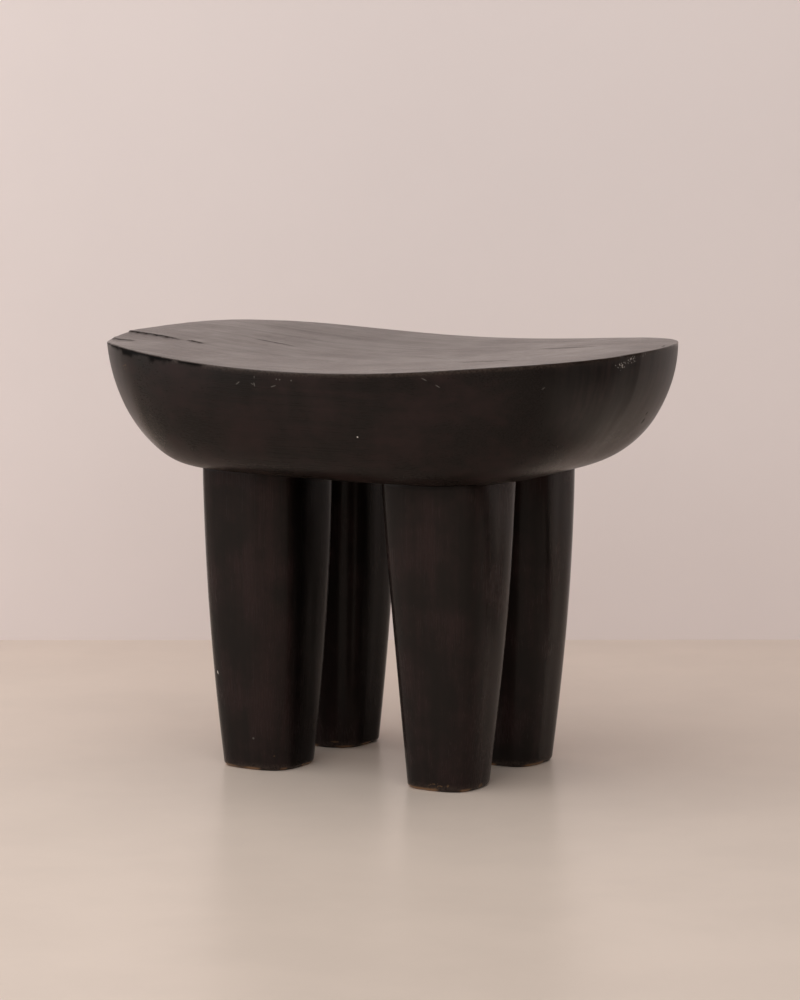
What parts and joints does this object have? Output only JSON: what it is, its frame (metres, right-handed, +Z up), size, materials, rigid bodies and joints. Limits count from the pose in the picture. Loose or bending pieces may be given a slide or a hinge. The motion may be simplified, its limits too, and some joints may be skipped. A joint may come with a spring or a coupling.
{
  "type": "carved wooden stool",
  "caption": "Low carved stool of ebonised wood: a thick saddle seat with a hull-shaped underside on stout tapering legs, held by hidden wedged tenons.",
  "frame": {"origin": "on the floor, under the middle of the seat", "axes": "+X along the seat, +Y across it towards the back, +Z up"},
  "size_m": [0.5738, 0.3892, 0.4314],
  "materials": {
    "seat_wood": "ebonised and waxed, satin, grain along the seat, rubbed bare along the rim",
    "leg_wood": "ebonised and waxed, satin, grain upright, worn to raw wood at the foot edges",
    "wedge_wood": "bare split hardwood, unstained"
  },
  "bodies": {
    "root": {"seat": "seat_wood", "leg_front_left": "leg_wood", "leg_front_right": "leg_wood", "leg_back_left": "leg_wood", "leg_back_right": "leg_wood", "wedge_front_left": "wedge_wood", "wedge_front_right": "wedge_wood", "wedge_back_left": "wedge_wood", "wedge_back_right": "wedge_wood"}
  },
  "joints": []
}
